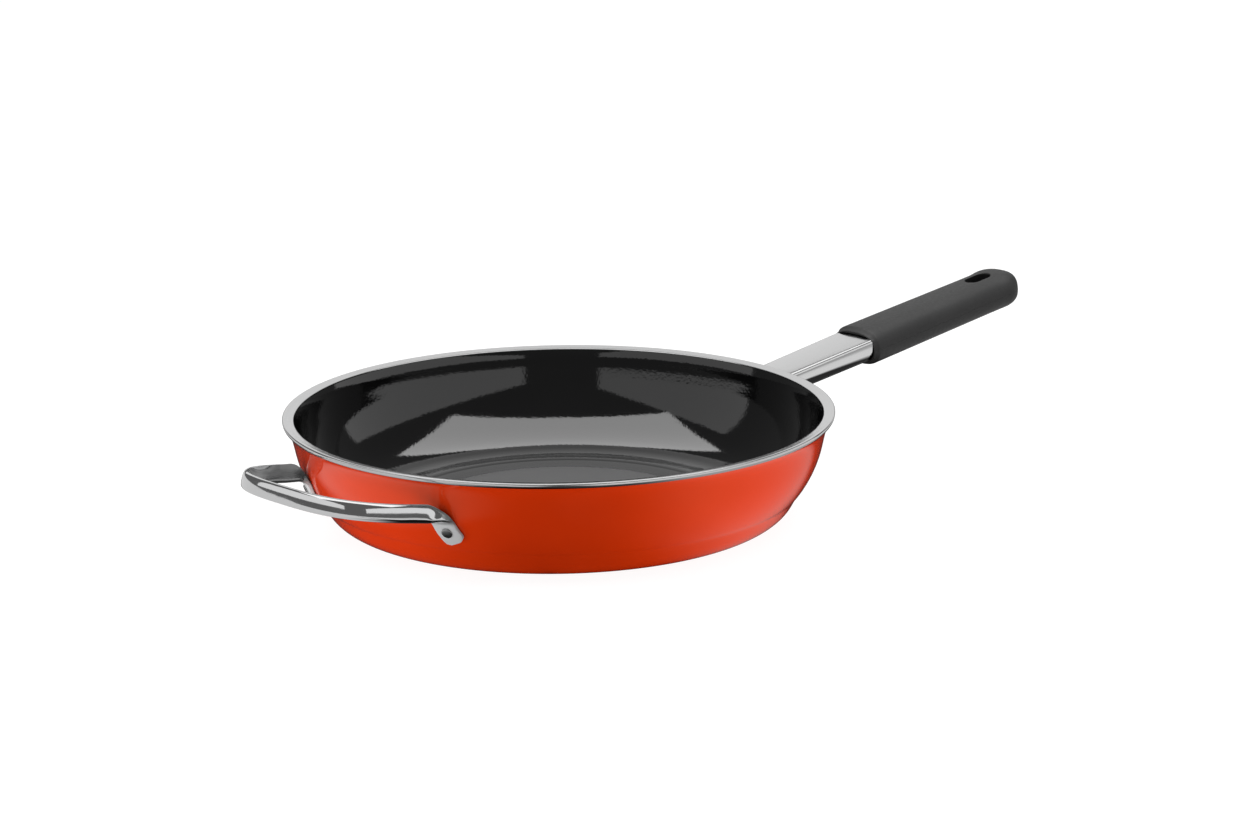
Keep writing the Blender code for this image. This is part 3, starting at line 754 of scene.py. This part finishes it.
TURN, TILT, ROLL = math.radians(43.2), 0.25735, 0.0111
CAMERA_PLACE = (-1.15725, -1.28526, 0.5037)
right = Vector((math.cos(TURN), -math.sin(TURN), 0.0))
ahead = Vector((math.sin(TURN), math.cos(TURN), 0.0))
forward = ahead * math.cos(TILT) - Vector((0, 0, math.sin(TILT)))
up = ahead * math.sin(TILT) + Vector((0, 0, math.cos(TILT)))
camera_right = right * math.cos(ROLL) - up * math.sin(ROLL)
camera_up = right * math.sin(ROLL) + up * math.cos(ROLL)
camera_data = bpy.data.cameras.new("camera")
camera_data.lens, camera_data.sensor_width = 100.0, 36.0
camera_data.sensor_fit = "HORIZONTAL"
camera_data.clip_start = 0.05
camera = bpy.data.objects.new("camera", camera_data)
bpy.context.scene.collection.objects.link(camera)
spin = Matrix((camera_right, camera_up, -forward)).transposed()
camera.matrix_world = Matrix.Translation(CAMERA_PLACE) @ spin.to_4x4()
bpy.context.scene.camera = camera

# --- floor, lights and world ------------------------------------------------------------

FLOOR_HALF = 9.0


def stage_point(x, y, z):
    """A place given as right, away and up in the camera's view, in metres."""
    return right * x + ahead * y + Vector((0, 0, z))


def build_floor():
    """Pale floor. To all rays but the camera's it glows with painted light, a set of brighter and
    darker studio areas that the pan mirrors and is lit by, among them a painted shadow of the pan.
    """
    bm = bmesh.new()
    bm.faces.new([bm.verts.new((x * FLOOR_HALF, y * FLOOR_HALF, 0.0))
                  for x, y in ((-1, -1), (1, -1), (1, 1), (-1, 1))])
    mesh = bpy.data.meshes.new("floor")
    bm.to_mesh(mesh)
    bm.free()
    floor = bpy.data.objects.new("floor", mesh)
    bpy.context.scene.collection.objects.link(floor)
    n = Nodes("floor")

    def largest(a, b):
        return n.math("MAXIMUM", a, b)

    def times(a, b):
        return n.math("MULTIPLY", a, b)

    def along(direction):
        return n.vector_math("DOT_PRODUCT", n.place, direction)

    def ramp(source, start, end, low, high):
        result = n.spread(source, low, high, start, end)
        result.node.interpolation_type = "SMOOTHSTEP"
        return result

    reach = n.vector_math("LENGTH", n.place)
    left, rightward, away = along(-right), along(right), along(ahead)
    left_side = times(ramp(along(ahead * 0.45 - right), -0.045, 0.045, 0.05, 0.72),
                      ramp(along(ahead + right * 1.25), -0.25, -0.21, 1.0, 0.06))
    right_side = times(ramp(along(ahead * 0.45 + right), -0.02, 0.07, 0.05, 0.48),
                       ramp(along(ahead - right * 1.25), -0.20, -0.16, 1.0, 0.06))
    off_middle = largest(ramp(left, 0.0, 0.04, 0.1, 0.75), ramp(rightward, 0.02, 0.06, 0.1, 0.9))
    off_middle = times(off_middle, ramp(rightward, 0.40, 0.46, 1.0, 0.3))
    # The mirrored glow in far is dark round the pan and in a band behind it: a painted shadow of
    # the pan.
    beside = largest(ramp(left, 0.19, 0.23, 0.0, 1.0), ramp(rightward, 0.19, 0.23, 0.0, 1.0))
    outside_painted_pan_shadow = largest(beside, ramp(away, -0.05, 0.0, 1.0, 0.0))
    far = times(times(off_middle, ramp(reach, 0.19, 0.23, 0.0, 1.0)), outside_painted_pan_shadow)
    mirrored = largest(largest(left_side, right_side), far)
    diffuse = largest(ramp(left, 0.02, 0.14, 0.78, 2.0), ramp(rightward, 0.02, 0.14, 0.78, 2.05))
    diffuse = times(diffuse, ramp(away, -0.02, 0.1, 1.0, 0.3))

    light_path = n.add("ShaderNodeLightPath")
    choose = n.add("ShaderNodeMix")
    n.link(light_path.outputs["Is Diffuse Ray"], choose.inputs["Factor"])
    n.link(mirrored, choose.inputs["A"])
    n.link(diffuse, choose.inputs["B"])
    glow = n.add("ShaderNodeEmission")
    n.link(choose.outputs["Result"], glow.inputs["Color"])
    for key, value in (("Base Color", (0.12, 0.12, 0.12, 1)), ("Roughness", 0.9),
                       ("Specular IOR Level", 0.1), ("Emission Color", (1, 1, 1, 1)),
                       ("Emission Strength", 0.94)):
        n.shader.inputs[key].default_value = value
    mix = n.add("ShaderNodeMixShader")
    n.link(light_path.outputs["Is Camera Ray"], mix.inputs["Fac"])
    n.link(glow.outputs["Emission"], mix.inputs[1])
    n.link(n.shader.outputs["BSDF"], mix.inputs[2])
    n.link(mix.outputs["Shader"], n.tree.nodes["Material Output"].inputs["Surface"])
    mesh.materials.append(n.mat)


def softbox(name, place, aim, size, brightness, level=None):
    """Rectangular light at place, facing aim, its long side along level."""
    data = bpy.data.lights.new(name, "AREA")
    data.shape = "RECTANGLE"
    data.size, data.size_y = size
    data.energy = brightness * math.pi * size[0] * size[1]
    light = bpy.data.objects.new(name, data)
    bpy.context.scene.collection.objects.link(light)
    back = (stage_point(*place) - stage_point(*aim)).normalized()
    side = level or Vector((0, 0, 1)).cross(back).normalized()
    turn = Matrix((side, back.cross(side), back)).transposed()
    light.matrix_world = Matrix.Translation(stage_point(*place)) @ turn.to_4x4()
    light.visible_camera = False
    return light


def split_steel(bright, dim):
    """Polished steel mirrors the dim light; everything else gets the bright one."""
    steel = [obj for obj in bpy.context.scene.objects if obj.type == "MESH" and any(
        mat and "steel" in mat.name for mat in obj.data.materials)]
    for light, state in ((bright, "EXCLUDE"), (dim, "INCLUDE")):
        group = bpy.data.collections.new(light.name + "_receivers")
        for obj in steel:
            group.objects.link(obj)
        light.light_linking.receiver_collection = group
        for entry in group.collection_objects:
            entry.light_linking.link_state = state


build_floor()
TOP_BOX = ((0.0, 0.29, 1.26), (0.0, 0.768, 0.0), (2.0, 1.69))
split_steel(softbox("top_box", *TOP_BOX, 3.9, right),
            softbox("top_box_steel", *TOP_BOX, 1.3, right))
softbox("back_panel", (0.0, 2.2, 1.0), (0.0, 0.0, 1.0), (2.6, 1.3), 0.72)
softbox("left_box", (-0.95, -1.35, 0.70), (0.0, -1.35, 0.70), (3.2, 0.73), 0.75,
        (-ahead + Vector((0, 0, 0.16))).normalized())
softbox("right_box", (0.95, -1.25, 0.52), (0.0, -1.25, 0.52), (3.8, 0.5), 0.8,
        (-ahead + Vector((0, 0, 0.14))).normalized())

world = bpy.data.worlds.new("studio")
bpy.context.scene.world = world
world.use_nodes = True
background = world.node_tree.nodes["Background"]
background.inputs["Color"].default_value = (1, 1, 1, 1)
background.inputs["Strength"].default_value = 0.13
bpy.context.scene.view_settings.view_transform = "Standard"
